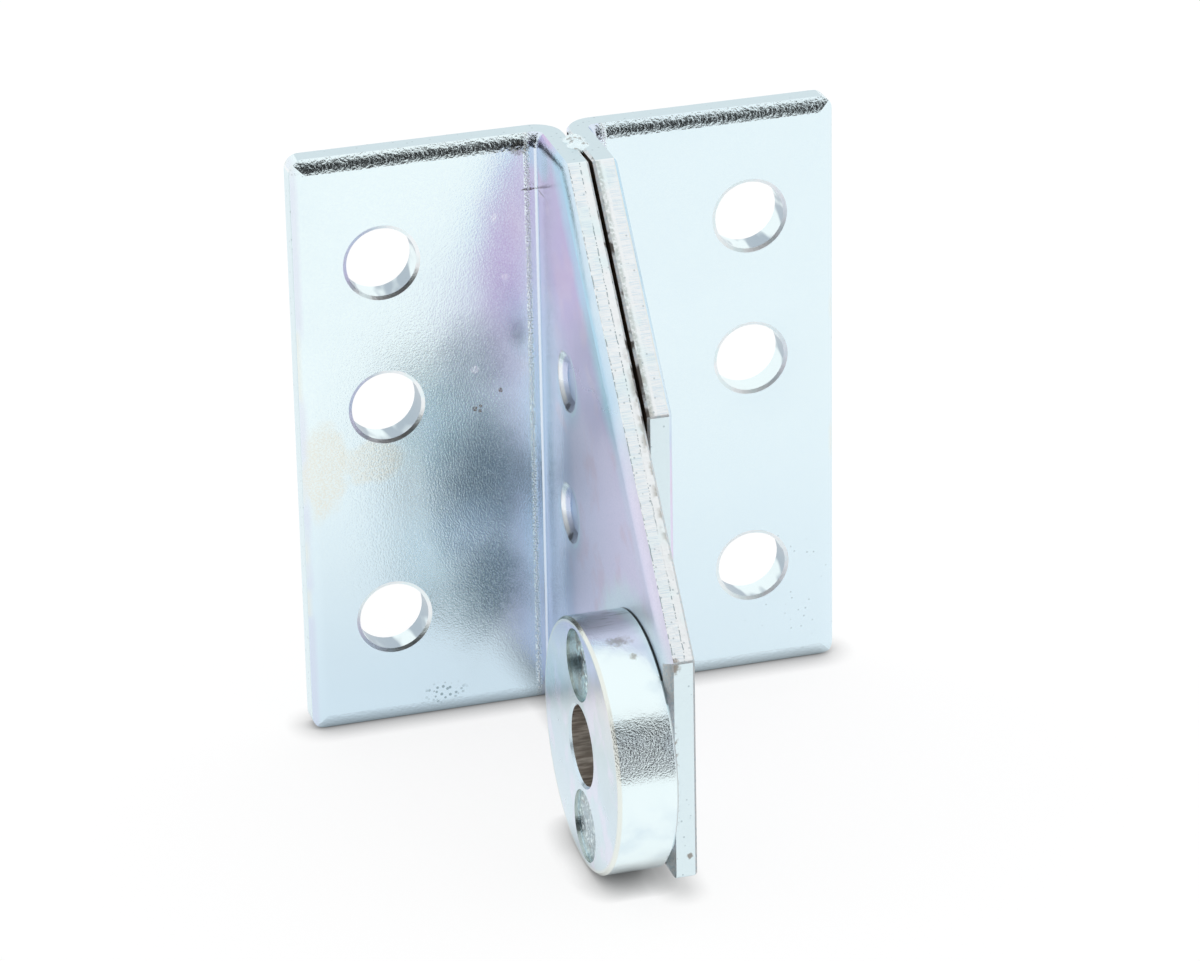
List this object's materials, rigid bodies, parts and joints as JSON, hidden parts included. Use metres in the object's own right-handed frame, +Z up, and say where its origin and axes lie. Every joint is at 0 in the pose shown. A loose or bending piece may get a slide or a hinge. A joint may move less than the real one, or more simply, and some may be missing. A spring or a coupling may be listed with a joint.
{
  "type": "fridge door hinge bracket",
  "caption": "Welded sheet-steel hinge bracket: folded bolt-on flanges, sloping webs joined along a seam, and a bored pivot disc plug-welded to the longer web.",
  "frame": {"origin": "centre of the four outer bolt holes, on the mounting plane at the back of the flanges", "axes": "+Y out of the mounting face into the cabinet, +Z up along the flanges, +X from the long web's disc side towards the short web"},
  "size_m": [0.0688, 0.059, 0.0791],
  "materials": {
    "zinc_sheet": "clear blue zinc plating on cold-rolled steel sheet",
    "zinc_disc": "clear blue zinc plating on turned steel",
    "zinc_weld": "rough zinc-plated weld metal"
  },
  "bodies": {
    "root": {"long_arm_plate": "zinc_sheet", "short_arm_plate": "zinc_sheet", "pivot_disc": "zinc_disc", "upper_plug_weld": "zinc_weld", "lower_plug_weld": "zinc_weld", "top_tack_weld": "zinc_weld"}
  },
  "joints": []
}
